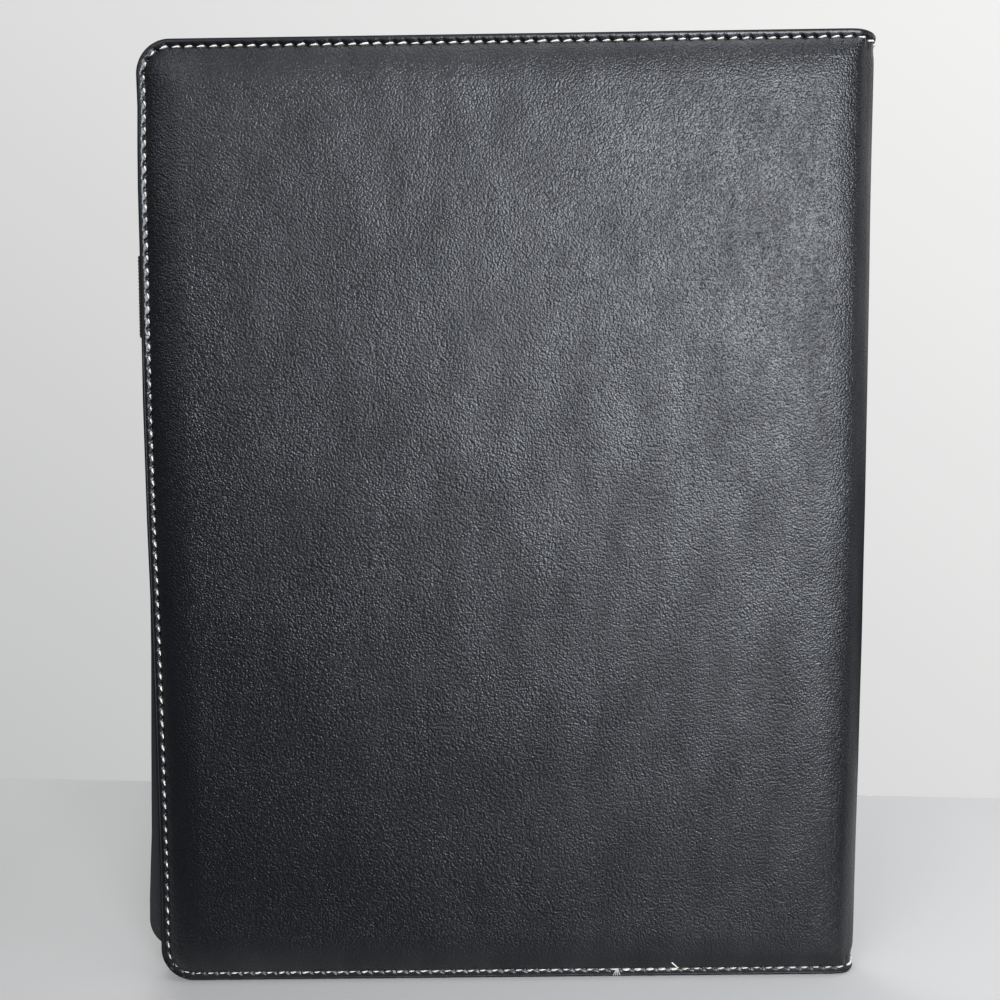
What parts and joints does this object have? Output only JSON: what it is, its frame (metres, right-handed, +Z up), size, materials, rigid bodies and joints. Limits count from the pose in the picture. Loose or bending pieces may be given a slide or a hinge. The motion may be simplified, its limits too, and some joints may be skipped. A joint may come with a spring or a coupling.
{
  "type": "padfolio",
  "caption": "Closed padded padfolio standing on its edge: stitched leatherette covers on a round folding spine, with a writing pad in a slot and pockets inside.",
  "frame": {"origin": "middle of the foot of the closed padfolio, on the surface it stands on", "axes": "+Z up along the spine, back cover facing -Y, spine at +X, open edge at -X"},
  "size_m": [0.2468, 0.0222, 0.3175],
  "materials": {
    "leather": "black leatherette with a fine embossed grain, half matt",
    "foam": "open-cell padding",
    "grey_board": "stiff grey board",
    "lining": "woven black lining",
    "elastic": "ribbed black elastic",
    "chipboard": "brown chipboard",
    "paper": "uncoated writing paper",
    "binding_tape": "embossed binding tape",
    "clear_film": "clear soft film"
  },
  "bodies": {
    "back_cover": {"back_cover_leather": "leather", "back_cover_foam": "foam", "back_cover_board": "grey_board", "back_cover_lining": "lining", "pad_slot_panel": "lining", "pen_loop": "elastic"},
    "writing_pad": {"pad_backing_board": "chipboard", "pad_sheets": "paper", "pad_binding_tape": "binding_tape"},
    "spine": {"spine_leather": "leather", "spine_foam": "foam", "spine_stiffener": "grey_board", "spine_lining": "lining"},
    "front_cover": {"front_cover_leather": "leather", "front_cover_foam": "foam", "front_cover_board": "grey_board", "front_cover_lining": "lining", "document_pocket_panel": "lining", "document_pocket_binding": "leather", "card_pocket_backing": "lining", "card_pocket_top": "leather", "card_pocket_middle": "leather", "card_pocket_bottom": "leather", "id_pocket_film": "clear_film", "id_pocket_binding": "leather"}
  },
  "joints": [
    {"name": "back_fold", "type": "hinge", "parent": "back_cover", "child": "spine", "pos_m": [0.11943, -0.00705, 0], "axis": [0, 0, -1], "range_deg": [0, 105.8]},
    {"name": "front_fold", "type": "hinge", "parent": "spine", "child": "front_cover", "pos_m": [0.11543, 0.00705, 0], "axis": [0, 0, -1], "range_deg": [0, 74.1]},
    {"name": "pad_slide", "type": "slide", "parent": "back_cover", "child": "writing_pad", "axis": [0, 0, 1], "range_m": [0, 0.115]}
  ]
}
